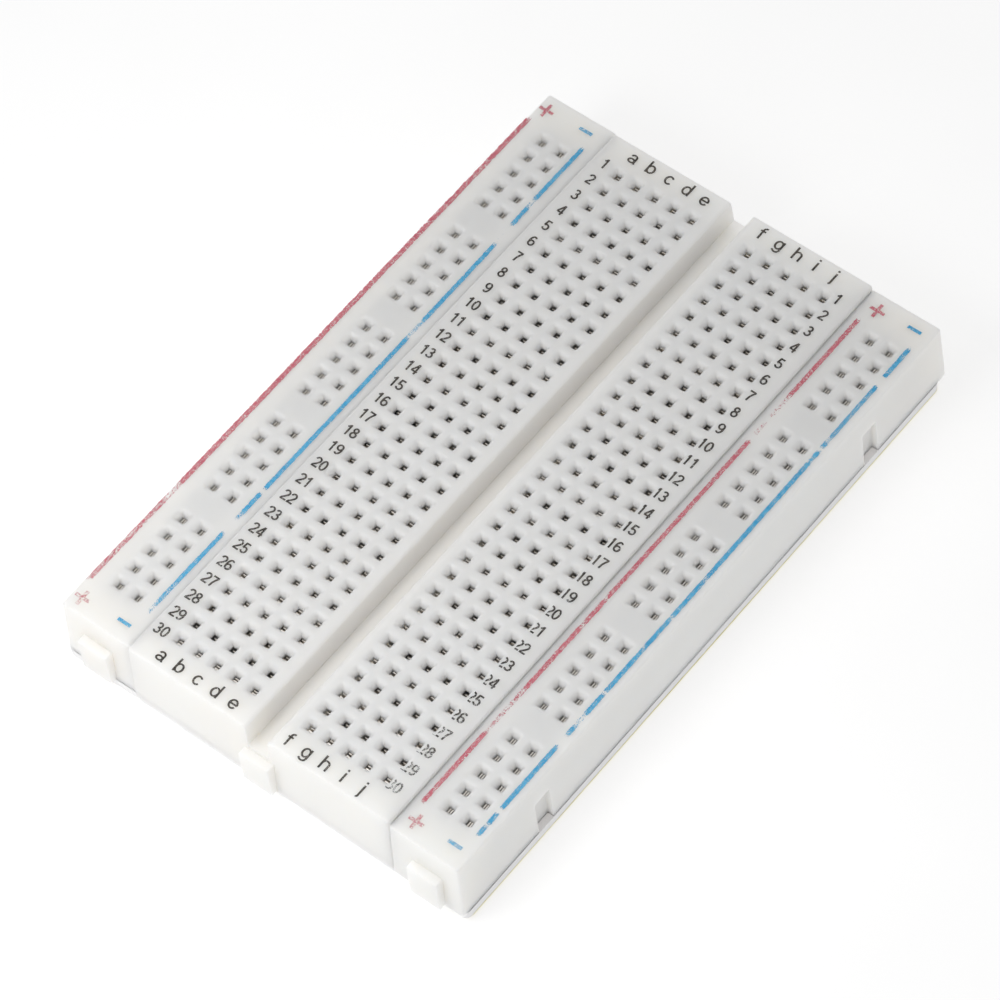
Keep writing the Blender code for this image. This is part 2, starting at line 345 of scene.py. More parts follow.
def merged(values):
    """Sorted lines, with those closer than a hundredth of a millimetre made one."""
    kept = []
    for value in sorted(values):
        if not kept or value - kept[-1] > 0.01 * MM:
            kept.append(value)
    return kept


def tile_lines(centres):
    lines = [c + step for c in centres for step in TILE_LINES]
    return lines + [c + PITCH / 2 for c in centres]


def filled(lines):
    """Adds lines where two neighbours lie further apart than the longest cell wanted."""
    out = [lines[0]]
    for value in lines[1:]:
        parts = max(1, math.ceil((value - out[-1]) / LONGEST_CELL - 0.01))
        start = out[-1]
        out += [start + (value - start) * k / parts for k in range(1, parts + 1)]
    return out


def joining_tools(centre, half_width, half_length, bottom):
    """Two meshes in place: the moulding's tabs, and the slots that take a neighbour's."""
    tabs, slots = bmesh.new(), bmesh.new()
    x, y = centre.x, centre.y
    for side in (-1, 1):
        level = y + side * SIDE_TAB_Y
        add_box(tabs, (x - half_width - TAB_DEPTH, level - SIDE_TAB_HALF, bottom),
                (x - half_width + TAB_ROOT, level + SIDE_TAB_HALF, bottom + TAB_HEIGHT))
        add_box(slots, (x + half_width - SLOT_DEPTH, level - SIDE_SLOT_HALF, bottom - MM),
                (x + half_width + MM, level + SIDE_SLOT_HALF, bottom + SLOT_HEIGHT))
    add_box(tabs, (x - END_TAB_HALF, y - half_length - TAB_DEPTH, bottom),
            (x + END_TAB_HALF, y - half_length + TAB_ROOT, bottom + TAB_HEIGHT))
    add_box(slots, (x - END_SLOT_HALF, y + half_length - SLOT_DEPTH, bottom - MM),
            (x + END_SLOT_HALF, y + half_length + MM, bottom + SLOT_HEIGHT))
    for tool in (tabs, slots):
        edges = list(tool.edges)
        bmesh.ops.bevel(tool, geom=edges, offset=TAB_BEVEL, segments=3, profile=0.5, affect="EDGES")
    return tabs, slots


def finish_moulding(name, mesh, centre, half_width, half_length, bottom):
    """Cuts the slots, joins the tabs, and shades the result. The sizes are the CAD's."""
    piece = link(name, mesh)
    tools = []
    for label, bm, operation in zip(
        ("tabs", "slots"), joining_tools(centre, half_width, half_length, bottom), ("UNION", "DIFFERENCE")
    ):
        tool = link(f"{name}_{label}_tool", mesh_from_bmesh(label, bm))
        modifier = piece.modifiers.new(label, "BOOLEAN")
        modifier.object, modifier.operation, modifier.solver = tool, operation, "EXACT"
        tools.append(tool)
    smooth(bake_modifiers(piece))
    for tool in tools:
        bpy.data.objects.remove(tool)
    return piece


def terminal_moulding():
    bottom, top = TERMINAL_LOW.z, TERMINAL_HIGH.z
    nominal = TERMINAL_HIGH.x - GRID.x
    half_width = nominal + TERMINAL_GROWTH
    half_top = TERMINAL_HIGH.y - GRID.y - END_DRAFT
    columns = [GRID.x + side * (1.5 + k) * PITCH for side in (-1, 1) for k in range(GROUP)]
    rows = [c.y for c in ROW_CENTRES]
    x_edges = [
        (GRID.x - half_width, *TERMINAL_ROUNDING), (GRID.x - RAVINE_HALF_TOP, *RAVINE_ROUNDING),
        (GRID.x + RAVINE_HALF_TOP, *RAVINE_ROUNDING), (GRID.x + half_width, *TERMINAL_ROUNDING),
    ]
    xs = tile_lines(columns)
    for (edge, reach, _), inward in zip(x_edges, (1, -1, 1, -1)):
        xs += edge_lines(edge, reach, inward)
    ys = tile_lines(rows)
    ys += edge_lines(GRID.y - half_top, CORNER_RADIUS, 1)
    ys += edge_lines(GRID.y + half_top, CORNER_RADIUS, -1)
    block = Moulding(filled(merged(xs)), filled(merged(ys)), top, bottom, x_edges, (0, 0))
    ravine = (GRID.x - RAVINE_HALF_TOP, GRID.x + RAVINE_HALF_TOP)
    block.mark(ravine, (block.ys[0], block.ys[-1]), block.RAVINE)
    for side in (-1, 1):
        span = sorted(GRID.x + side * step * PITCH for step in (1, 1 + GROUP))
        for y in rows:
            block.mark(span, (y - POCKET_HALF, y + POCKET_HALF), block.POCKET)
    for x in columns:
        for y in rows:
            block.add_hole(x, y)
    mesh = block.build("terminal_block")
    return finish_moulding("terminal_block", mesh, GRID, nominal, half_top + END_DRAFT, bottom)


def rail_rows(centre):
    steps = range(RAIL_GROUPS * (GROUP + 1) - 1)
    middle = (len(steps) - 1) / 2
    return [(centre.y + (middle - k) * PITCH, k % (GROUP + 1) < GROUP) for k in steps]


def rail_moulding(side):
    low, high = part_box(f"power_rail_{side}")
    columns = [centre_of(f"bus_clip_{side}_{sign}").x for sign in ("plus", "minus")]
    centre = Vector((sum(columns) / 2, centre_of(f"bus_clip_{side}_plus").y, 0))
    nominal = high.x - centre.x
    half_top = high.y - centre.y - END_DRAFT
    rows = rail_rows(centre)
    sides = [RAIL_OUTER_TOP[side], nominal + RAIL_INNER_GROWTH]
    roundings = [RAIL_OUTER_ROUNDING, RAIL_INNER_ROUNDING]
    drafts = [RAIL_OUTER_DRAFT[side], 0.0]
    if side == "right":
        sides.reverse()
        roundings.reverse()
        drafts.reverse()
    edges = (centre.x - sides[0], centre.x + sides[1])
    x_edges = [(edge, *rounding) for edge, rounding in zip(edges, roundings)]
    reach = RAIL_OUTER_ROUNDING[0]
    xs = tile_lines(columns) + edge_lines(edges[0], reach, 1) + edge_lines(edges[1], reach, -1)
    ys = tile_lines([y for y, _ in rows])
    ys += edge_lines(centre.y - half_top, CORNER_RADIUS, 1)
    ys += edge_lines(centre.y + half_top, CORNER_RADIUS, -1)
    block = Moulding(filled(merged(xs)), filled(merged(ys)), high.z, low.z, x_edges, drafts)
    span = (rows[-1][0] - PITCH / 2, rows[0][0] + PITCH / 2)
    for x in columns:
        block.mark((x - POCKET_HALF, x + POCKET_HALF), span, block.POCKET)
        for y, has_hole in rows:
            if has_hole:
                block.add_hole(x, y)
    name = f"rail_block_{side}"
    mesh = block.build(name)
    return finish_moulding(name, mesh, centre, nominal, half_top + END_DRAFT, low.z)


# ------------ contact clips

CLIP_SHEET = 0.14 * MM
FINGER_WIDTH = 2.05 * MM
TIP_WIDTH = 0.56 * MM
TIP_LENGTH = 0.6 * MM
ROW_CLIP_REACH = 6.0 * MM
BUS_CLIP_REACH = 36.5 * MM


def leg_path(base_half, height, pinch, lip):
    """One leg of a clip in (offset, height): up from the base, in to the pinch, out to the lip."""
    return [
        (base_half - 0.25 * MM, 0.0),
        (base_half - 0.04 * MM, 0.06 * MM),
        (base_half, 0.3 * MM),
        (base_half * 0.94, height * 0.32),
        (base_half * 0.70, height * 0.62),
        (pinch * 1.3, height - 1.15 * MM),
        (pinch, height - 0.72 * MM),
        (pinch * 1.3, height - 0.50 * MM),
        ((pinch + lip) / 2, height - 0.26 * MM),
        (lip * 0.96, height - 0.10 * MM),
        (lip, height),
    ]


def add_leg(bm, path, along, width, side):
    """A sheet-metal strip that follows the path, mirrored to one side, centred at a place along X."""
    normals = []
    for k in range(len(path)):
        a, b = path[max(k - 1, 0)], path[min(k + 1, len(path) - 1)]
        length = math.hypot(b[0] - a[0], b[1] - a[1])
        normals.append(((b[1] - a[1]) / length, -(b[0] - a[0]) / length))
    rings = []
    for (y, z), (ny, nz) in zip(path, normals):
        half = CLIP_SHEET / 2
        narrow = width / 2 if z < path[-1][1] - TIP_LENGTH else TIP_WIDTH / 2
        ring = []
        for sx, sn in ((-1, -1), (1, -1), (1, 1), (-1, 1)):
            point = (along + sx * narrow, side * (y + sn * half * ny), z + sn * half * nz)
            ring.append(bm.verts.new(point))
        rings.append(ring)
    for one, two in zip(rings, rings[1:]):
        for k in range(4):
            nxt = (k + 1) % 4
            bm.faces.new((one[k], one[nxt], two[nxt], two[k]))
    bm.faces.new(rings[0])
    bm.faces.new(rings[-1])


def clip_mesh(name, places, reach, height, pinch, lip):
    """A spring clip along X with a pair of fingers at each place, on a common base strip."""
    bm = bmesh.new()
    base_half = 0.7 * MM
    strip_half = base_half - 0.2 * MM
    add_box(bm, (-reach, -strip_half, -CLIP_SHEET / 2), (reach, strip_half, CLIP_SHEET / 2))
    path = leg_path(base_half, height, pinch, lip)
    for along in places:
        for side in (-1, 1):
            add_leg(bm, path, along, FINGER_WIDTH, side)
    bmesh.ops.recalc_face_normals(bm, faces=bm.faces)
    mesh = mesh_from_bmesh(name, bm)
    smooth(mesh, 50)
    return mesh


# Half openings of the four makes of row clip, in millimetres: at the pinch and at the lip.
CLIP_KINDS = [(0.09, 0.19), (0.10, 0.21), (0.08, 0.16), (0.11, 0.23)]
CLIP_SHORTFALLS = (0.0, 0.08, 0.2, 0.3)
CLIP_TIP_DEPTH = 1.03 * MM


def add_clips(metal):
    """Two five-contact clips in each row, and one long clip under each power rail column."""
    rng = random.Random(7)
    places = [(k - 2) * PITCH for k in range(GROUP)]
    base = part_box("clip_row_01")[0].z + 0.12 * MM
    height = TERMINAL_HIGH.z - CLIP_TIP_DEPTH - base
    meshes = []
    for number, (pinch, lip) in enumerate(CLIP_KINDS):
        mesh = clip_mesh(f"row_clip_{number}", places, ROW_CLIP_REACH, height, pinch * MM, lip * MM)
        mesh.materials.append(metal)
        meshes.append(mesh)
    for row, centre in enumerate(ROW_CENTRES):
        for label, side in (("a_e", -1), ("f_j", 1)):
            piece = link(f"row_clip_{row + 1:02d}_{label}", rng.choice(meshes))
            slack = Vector((rng.uniform(-0.03, 0.03), rng.uniform(-0.07, 0.07), 0)) * MM
            piece.location = Vector((GRID.x + side * 3.5 * PITCH, centre.y, base)) + slack
            piece.scale.z = 1 - rng.choice(CLIP_SHORTFALLS) * MM / height
            place(piece, "terminal_strip", "contact_metal", f"clip_row_{row + 1:02d}")
    for side in ("left", "right"):
        for sign in ("plus", "minus"):
            node = f"bus_clip_{side}_{sign}"
            centre = centre_of(node)
            along_rail = [y - centre.y for y, has_hole in rail_rows(centre) if has_hole]
            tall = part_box(f"power_rail_{side}")[1].z - CLIP_TIP_DEPTH + 0.14 * MM - base
            mesh = clip_mesh(f"bus_{side}_{sign}", along_rail, BUS_CLIP_REACH, tall, 0.06 * MM, 0.14 * MM)
            mesh.materials.append(metal)
            piece = link(f"bus_strip_{side}_{sign}", mesh)
            piece.rotation_euler.z = math.pi / 2
            piece.location = (centre.x + rng.uniform(-0.05, 0.05) * MM, centre.y, base)
            place(piece, f"{side}_rail", "contact_metal", node)


# ------------ foam tape and liner

# Blender's noise starts from the clock unless it is seeded, so the cut edges would differ in every run.
# With this seed no edge of a notched pad is shared by four faces, which four of six seeds tried had.
EDGE_SEED = 4

def slab_mesh(name, low, high, radii, ripple, seed):
    """A thin slab with rounded upright corners, whose cut edge wanders by ripple.

    radii are those of the corners (low, low), (high, low), (high, high) and (low, high).
    """
    outline = []
    corners = [(low[0], low[1]), (high[0], low[1]), (high[0], high[1]), (low[0], high[1])]
    inward = [(1, 1), (-1, 1), (-1, -1), (1, -1)]
    for number in range(4):
        (x, y), (dx, dy), r = corners[number], inward[number], max(radii[number], 0.05 * MM)
        steps = 8
        for k in range(steps + 1):
            angle = math.radians(180 + 90 * number + 90 * k / steps)
            outline.append((x + dx * r + r * math.cos(angle), y + dy * r + r * math.sin(angle)))
    points = []
    for a, b in zip(outline, outline[1:] + outline[:1]):
        length = math.hypot(b[0] - a[0], b[1] - a[1])
        parts = max(1, round(length / (0.5 * MM)))
        points += [(a[0] + (b[0] - a[0]) * k / parts, a[1] + (b[1] - a[1]) * k / parts) for k in range(parts)]
    thickness = high[2] - low[2]
    levels = [0.0, 0.08, 0.3, 0.7, 0.92, 1.0]
    insets = [0.05, 0.0, 0.0, 0.0, 0.0, 0.05]
    middle = Vector(((low[0] + high[0]) / 2, (low[1] + high[1]) / 2, 0))
    bm = bmesh.new()
    rings = []
    for level, inset in zip(levels, insets):
        ring = []
        for x, y in points:
            z = low[2] + level * thickness
            shake = noise.noise_vector(Vector((x, y, z * 2)) * 900 + Vector((seed, 0, 0)))
            away = (Vector((x, y, 0)) - middle).normalized()
            point = Vector((x, y, z)) + away * (shake.x * ripple - inset * thickness)
            point.x += shake.y * ripple * 0.4
            ring.append(bm.verts.new(point))
        rings.append(ring)
    for one, two in zip(rings, rings[1:]):
        for k in range(len(one)):
            nxt = (k + 1) % len(one)
            bm.faces.new((one[k], one[nxt], two[nxt], two[k]))
    bm.faces.new(list(reversed(rings[0])))
    bm.faces.new(rings[-1])
    bmesh.ops.recalc_face_normals(bm, faces=bm.faces)
    mesh = mesh_from_bmesh(name, bm)
    smooth(mesh, 35)
    return mesh


def notch_pad(pad, high, middle_y):
    """Cuts a pad's right edge back under the slots, so that the neighbour's tabs can lift past it."""
    bm = bmesh.new()
    for side in (-1, 1):
        y = middle_y + side * SIDE_TAB_Y
        add_box(bm, (high.x - NOTCH_DEPTH, y - NOTCH_HALF, high.z - 2 * MM),
                (high.x + MM, y + NOTCH_HALF, high.z + MM))
    tool = link("notches", mesh_from_bmesh("notches", bm))
    modifier = pad.modifiers.new("notches", "BOOLEAN")
    modifier.object, modifier.operation, modifier.solver = tool, "DIFFERENCE", "EXACT"
    smooth(bake_modifiers(pad), 35)
    bpy.data.objects.remove(tool)


def add_tape(foam, paper):
    """Three foam pads, each riding with its moulding, and one liner under them all."""
    noise.seed_set(EDGE_SEED)
    bottom = TERMINAL_LOW.z
    liner_low, liner_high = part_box("release_liner")
    for number, (part, body, radii) in enumerate((
        ("left", "left_rail", (1.6, 0.1, 0.1, 1.4)),
        ("middle", "terminal_strip", (0.1, 0.1, 0.1, 0.1)),
        ("right", "right_rail", (0.1, 0.7, 1.0, 0.1)),
    )):
        low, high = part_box(f"foam_pad_{part}")
        low.z, high.z = liner_high.z + 0.02 * MM, bottom - 0.005 * MM
        radii = [r * MM for r in radii]
        pad = link(f"foam_tape_{part}", slab_mesh(f"foam_tape_{part}", low, high, radii, 0.035 * MM, number))
        if part != "right":
            neighbour = GRID.y if part == "left" else centre_of("bus_clip_right_plus").y
            notch_pad(pad, high, neighbour)
        pad.data.materials.append(foam)
        place(pad, body, "foam_tape", f"foam_pad_{part}")
    radii = [r * MM for r in (1.6, 0.7, 1.0, 1.4)]
    liner_low.y += 0.4 * MM
    sheet = link("liner_sheet", slab_mesh("liner_sheet", liner_low, liner_high, radii, 0.015 * MM, 9))
    sheet.data.materials.append(paper)
    place(sheet, "liner_sheet", "liner_paper", "release_liner")


# ------------ print

INK_THICKNESS = 0.012 * MM
NUMBER_HEIGHT = 1.38 * MM
LETTER_HEIGHT = 1.68 * MM
DIGIT_STROKE = 0.145
LETTER_STROKE = 0.118
DIGIT_ADVANCE = 0.64
DIGIT_STRETCH = 1.10
LETTER_STRETCH = 1.24


def arc(cx, cy, rx, ry, start, end):
    """Points on an ellipse from one angle to another, in degrees."""
    steps = max(3, math.ceil(abs(end - start) / 18))
    angles = [math.radians(start + (end - start) * k / steps) for k in range(steps + 1)]
    return [(cx + rx * math.cos(a), cy + ry * math.sin(a)) for a in angles]


def oval(cx, cy, rx, ry):
    return arc(cx, cy, rx, ry, 0, 360)[:-1] + ["closed"]


# Centre lines of plain upright lettering. The cap height is 1, and "closed" ends a loop.
GLYPHS = {
    "0": [oval(0.28, 0.5, 0.205, 0.43)],
    "1": [[(0.32, 0.0), (0.32, 1.0)], [(0.10, 0.74), (0.21, 0.81), (0.32, 0.95)]],
    "2": [arc(0.28, 0.70, 0.20, 0.23, 170, -35) + [(0.30, 0.36), (0.13, 0.17), (0.09, 0.065)],
          [(0.03, 0.065), (0.52, 0.065)]],
    "3": [arc(0.26, 0.73, 0.17, 0.20, 155, -90), arc(0.26, 0.29, 0.21, 0.225, 90, -160),
          [(0.20, 0.525), (0.30, 0.525)]],
    "4": [[(0.38, 0.97), (0.06, 0.29)], [(0.03, 0.27), (0.54, 0.27)], [(0.40, 0.0), (0.40, 1.0)]],
    "5": [[(0.49, 0.935), (0.15, 0.935)], [(0.17, 0.98), (0.10, 0.47)],
          arc(0.27, 0.315, 0.21, 0.25, 145, -160)],
    "6": [oval(0.285, 0.305, 0.205, 0.24), arc(0.30, 0.50, 0.225, 0.43, 50, 205)],
    "7": [[(0.04, 0.935), (0.53, 0.935)], [(0.50, 0.93), (0.37, 0.68), (0.27, 0.40), (0.22, 0.0)]],
    "8": [oval(0.28, 0.745, 0.165, 0.19), oval(0.28, 0.29, 0.205, 0.225)],
    "9": [oval(0.275, 0.695, 0.205, 0.24), arc(0.26, 0.50, 0.225, 0.43, 230, 385)],
    "a": [arc(0.27, 0.49, 0.17, 0.175, 165, 0) + [(0.44, 0.12), (0.50, 0.0)], oval(0.25, 0.205, 0.18, 0.15)],
    "b": [[(0.08, 0.0), (0.08, 1.0)], oval(0.28, 0.36, 0.20, 0.305)],
    "c": [arc(0.29, 0.36, 0.205, 0.305, 40, 320)],
    "d": [[(0.48, 0.0), (0.48, 1.0)], oval(0.28, 0.36, 0.20, 0.305)],
    "e": [arc(0.29, 0.36, 0.215, 0.305, 0, 325), [(0.08, 0.36), (0.53, 0.36)]],
    "f": [[(0.17, 0.0), (0.17, 0.78)] + arc(0.31, 0.78, 0.14, 0.16, 170, 75), [(0.02, 0.665), (0.34, 0.665)]],
    "g": [oval(0.28, 0.36, 0.20, 0.305),
          [(0.48, 0.72), (0.48, -0.02)] + arc(0.28, -0.02, 0.20, 0.20, 0, -160)],
    "h": [[(0.08, 0.0), (0.08, 1.0)], arc(0.28, 0.46, 0.19, 0.205, 170, 0) + [(0.47, 0.0)]],
    "i": [[(0.10, 0.0), (0.10, 0.72)], [(0.10, 0.87), (0.10, 1.0)]],
    "j": [[(0.14, 0.72), (0.14, -0.08)] + arc(0.02, -0.08, 0.12, 0.14, -10, -75),
          [(0.14, 0.87), (0.14, 1.0)]],
}


def ribbon(bm, path, width):
    """A slab of constant width along a path in the XY plane, from z = -1/2 to 1/2."""
    closed = path[-1] == "closed"
    points = [Vector(p) for p in path if p != "closed"]
    count = len(points)
    rings = []
    for k in range(count):
        before = points[k - 1] if closed or k else points[0]
        after = points[(k + 1) % count] if closed or k < count - 1 else points[-1]
        way = (after - before).normalized()
        side = Vector((-way.y, way.x)) * width / 2
        corners = [points[k] + side, points[k] - side]
        ring = [bm.verts.new((*corners[0], -0.5)), bm.verts.new((*corners[1], -0.5)),
                bm.verts.new((*corners[1], 0.5)), bm.verts.new((*corners[0], 0.5))]
        rings.append(ring)
    pairs = list(zip(rings, rings[1:])) + ([(rings[-1], rings[0])] if closed else [])
    for one, two in pairs:
        for k in range(4):
            nxt = (k + 1) % 4
            bm.faces.new((one[k], one[nxt], two[nxt], two[k]))
    if not closed:
        bm.faces.new(rings[0])
        bm.faces.new(rings[-1])


def glyph_mesh(character, width):
    """One character's strokes as closed slabs, joined to one where they cross."""
    meshes = []
    for path in GLYPHS[character]:
        bm = bmesh.new()
        ribbon(bm, path, width)
        bmesh.ops.recalc_face_normals(bm, faces=bm.faces)
        meshes.append(mesh_from_bmesh("stroke", bm))
    piece = link("glyph", meshes[0])
    for mesh in meshes[1:]:
        other = link("stroke", mesh)
        modifier = piece.modifiers.new("join", "BOOLEAN")
        modifier.object, modifier.operation, modifier.solver = other, "UNION", "EXACT"
        bake_modifiers(piece)
        bpy.data.objects.remove(other)
    mesh = piece.data
    bpy.data.objects.remove(piece)
    return mesh


def stamp(bm, mesh, x, y, z, height, stretch):
    """Adds one character with its foot's left corner at (x, y)."""
    copy = mesh.copy()
    size = Matrix.Diagonal((height * stretch, height, INK_THICKNESS, 1))
    copy.transform(Matrix.Translation((x, y, z)) @ size)
    bm.from_mesh(copy)
    bpy.data.meshes.remove(copy)


def ink_piece(name, bm, material, body, wear=None):
    """Welds a print mesh, stores how worn each point is, and rides it on its moulding."""
    bmesh.ops.remove_doubles(bm, verts=bm.verts, dist=1e-7)
    bmesh.ops.recalc_face_normals(bm, faces=bm.faces)
    mesh = mesh_from_bmesh(name, bm)
    if "wear" not in mesh.attributes:
        values = [wear(v.co) if wear else 0.0 for v in mesh.vertices]
        mesh.attributes.new("wear", "FLOAT", "POINT").data.foreach_set("value", values)
    mesh.materials.append(material)
    piece = link(name, mesh)
    return place(piece, body, "white_plastic")


def add_row_numbers(ink):
    """Numbers 1 to 30 beside columns a and j. Each column of print drifts a little across the board."""
    z = TERMINAL_HIGH.z + 0.003 * MM
    digits = {c: glyph_mesh(c, DIGIT_STROKE) for c in "0123456789"}
    for name, x, drift, pitch, lift in (
        ("row_numbers_left", -15.92, -0.24, 2.562, 0.03),
        ("row_numbers_right", 15.55, -0.25, 2.575, 0.10),
    ):
        bm = bmesh.new()
        for row in range(ROWS):
            share = row / (ROWS - 1)
            y = GRID.y + ((ROWS - 1) / 2 - row) * pitch * MM + lift * MM - NUMBER_HEIGHT / 2
            label = str(row + 1)
            middle = GRID.x + (x + drift * share * share) * MM
            start = middle - len(label) * DIGIT_ADVANCE * NUMBER_HEIGHT / 2
            for k, c in enumerate(label):
                stamp(bm, digits[c], start + (k * DIGIT_ADVANCE + 0.02) * NUMBER_HEIGHT, y, z, NUMBER_HEIGHT,
                      DIGIT_STRETCH)

        def wear(co, near=x > 0):
            down = max(0.0, (GRID.y - co.y) / (40 * MM))
            return 0.3 * down * down if near else 0.06 * down

        piece = ink_piece(name, bm, ink, "terminal_strip", wear)
        if x > 0:
            clear_of_mouths(piece)


def clear_of_mouths(piece):
    """Takes the print away where it would hang over the mouths of column j."""
    bm = bmesh.new()
    half = HOLE_RINGS[1][0] * MM
    for centre in ROW_CENTRES:
        x = GRID.x + (0.5 + GROUP) * PITCH
        add_box(bm, (x - half, centre.y - half, TERMINAL_HIGH.z - MM),
                (x + half, centre.y + half, TERMINAL_HIGH.z + MM))
    tool = link("mouths", mesh_from_bmesh("mouths", bm))
    modifier = piece.modifiers.new("mouths", "BOOLEAN")
    modifier.object, modifier.operation, modifier.solver = tool, "DIFFERENCE", "EXACT"
    bake_modifiers(piece)
    bpy.data.objects.remove(tool)


def add_column_letters(ink):
    """Letters a to j at both ends, upright to a reader at the row 30 end."""
    z = TERMINAL_HIGH.z + 0.003 * MM
    letters = {c: glyph_mesh(c, LETTER_STROKE) for c in "abcdefghij"}
    for name, baseline, starts in (
        ("column_letters_far", 38.85, (-13.8, 3.7)),
        ("column_letters_near", -40.2, (-14.1, 3.1)),
    ):
        bm = bmesh.new()
        for group, start in zip(("abcde", "fghij"), starts):
            for k, c in enumerate(group):
                xs = [v.co.x for v in letters[c].vertices]
                middle = (min(xs) + max(xs)) / 2 * LETTER_HEIGHT * LETTER_STRETCH
                x = GRID.x + (start + 2.45 * k) * MM - middle
                stamp(bm, letters[c], x, GRID.y + baseline * MM, z, LETTER_HEIGHT, LETTER_STRETCH)
        ink_piece(name, bm, ink, "terminal_strip")


def along(nodes, y):
    """A value read off a list of (y, value) nodes that run from far to near."""
    for (y0, v0), (y1, v1) in zip(nodes, nodes[1:]):
        if y >= y1:
            return v0 + (v1 - v0) * (y - y0) / (y1 - y0)
    return nodes[-1][1]


def wear_at(spots, y):
    """How worn a line is: each spot is (from, to, strength), with soft ends."""
    total = 0.0
    for start, end, strength in spots:
        inside = min(start - y, y - end)
        total += strength * min(1.0, max(0.0, 0.5 + inside / 0.5))
    return total


STRIPE_STEPS = 300
STRIPE_ACROSS = [-1.45, -1.15, -0.85, 0.0, 0.85, 1.15, 1.45]


def stripe_mesh(side, nodes, width, spots):
    """A printed line along Y with a thin fringe, and how worn it is at each point."""
    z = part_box(f"power_rail_{side}")[1].z + 0.003 * MM
    bm = bmesh.new()
    worn = bm.verts.layers.float.new("wear")
    start, end = nodes[0][0], nodes[-1][0]
    rings = []
    for k in range(STRIPE_STEPS + 1):
        y = start + (end - start) * k / STRIPE_STEPS
        x = along(nodes, y)
        ring = []
        for level, order in ((-1, 1), (1, -1)):
            for u in STRIPE_ACROSS[::order]:
                lift = z + level * INK_THICKNESS / 2
                vert = bm.verts.new((GRID.x + (x + u * width / 2) * MM, GRID.y + y * MM, lift))
                fringe = max(0.0, abs(u) - 0.85) * 1.1
                tip = max(0.0, 1 - min(k, STRIPE_STEPS - k) / 2) * 0.4
                vert[worn] = wear_at(spots, y) + fringe + tip
                ring.append(vert)
        rings.append(ring)
    for one, two in zip(rings, rings[1:]):
        for k in range(len(one)):
            nxt = (k + 1) % len(one)
            bm.faces.new((one[k], one[nxt], two[nxt], two[k]))
    bm.faces.new(rings[0])
    bm.faces.new(rings[-1])
    return bm


# Each rail line: side, sign, (Y, X) from far to near, width, and worn stretches (from, to, strength),
# in millimetres from the tie-point grid's centre.
RAIL_LINES = [
    ("left", "plus", [(37.6, -26.84), (0, -26.78), (-36.95, -26.70)], 0.60,
     [(30.5, 27.0, 0.05), (-21.9, -24.2, 0.26), (-24.2, -37.0, 0.12)]),
    ("left", "minus", [(37.8, -19.43), (29.0, -19.38), (20.0, -19.13), (0, -19.0), (-36.6, -18.93)], 0.50,
     [(29.3, 27.9, 0.26), (27.0, 26.5, 0.15), (25.0, 22.1, 0.55), (22.1, 21.4, 0.15), (9.5, 6.6, 0.24),
      (-17.3, -17.9, 0.6), (-20.9, -22.0, 0.2), (-22.0, -24.0, 0.62), (-31.0, -35.0, 0.1),
      (-35.0, -36.6, 0.3)]),
    ("right", "plus", [(37.0, 18.75), (0, 18.72), (-37.05, 18.63)], 0.50,
     [(24.6, 21.3, 0.26), (21.3, 20.6, 0.7), (20.6, 18.4, 0.3), (18.4, 17.7, 0.7), (-6.6, -6.95, 0.35),
      (-10.2, -11.0, 0.16), (-20.2, -22.2, 0.12), (-22.2, -26.7, 0.22), (-34.6, -35.0, 0.25)]),
    ("right", "minus", [(37.25, 25.40), (17.0, 25.50), (-1.0, 25.55), (-36.7, 25.60)], 0.50,
     [(37.1, 36.8, 0.2), (32.3, 31.1, 0.8), (30.0, 23.0, 0.08), (23.0, 22.0, 0.2), (21.3, 20.9, 0.5),
      (20.0, 19.0, 0.15), (1.3, 1.0, 0.35), (-4.5, -4.8, 0.35), (-8.8, -10.6, 0.1), (-15.7, -15.9, 0.6),
      (-19.0, -20.7, 0.3), (-22.1, -23.6, 0.6), (-32.8, -33.3, 0.8), (-35.0, -35.2, 0.6)]),
]

# Plus and minus marks at each end of each rail: side, sign, X, Y, and how worn they are inside.
RAIL_MARKS = [
    ("left", "plus", -25.95, 39.4, 0.04), ("left", "minus", -20.6, 39.65, 0.04),
    ("left", "plus", -25.72, -38.9, 0.20), ("left", "minus", -20.15, -38.6, 0.0),
    ("right", "plus", 19.7, 38.9, 0.0), ("right", "minus", 24.4, 39.2, 0.0),
    ("right", "plus", 19.55, -39.0, 0.14), ("right", "minus", 24.42, -38.75, 0.12),
]


def add_rail_print(inks):
    for side, sign, nodes, width, spots in RAIL_LINES:
        bm = stripe_mesh(side, nodes, width, spots)
        ink_piece(f"rail_line_{side}_{sign}", bm, inks[sign], f"{side}_rail")
    for side in ("left", "right"):
        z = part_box(f"power_rail_{side}")[1].z + 0.003 * MM
        for sign in ("plus", "minus"):
            bm = bmesh.new()
            for mark_side, mark_sign, x, y, worn_inside in RAIL_MARKS:
                if (mark_side, mark_sign) != (side, sign):
                    continue
                bars = [(0.93, 0.19)] if sign == "plus" else [(0.86, 0.2)]
                bars += [(0.19, 0.93)] if sign == "plus" else []
                centre = Vector((GRID.x + x * MM, GRID.y + y * MM, z))
                add_mark(bm, centre, bars, worn_inside)
            ink_piece(f"rail_marks_{side}_{sign}", bm, inks[sign], f"{side}_rail")


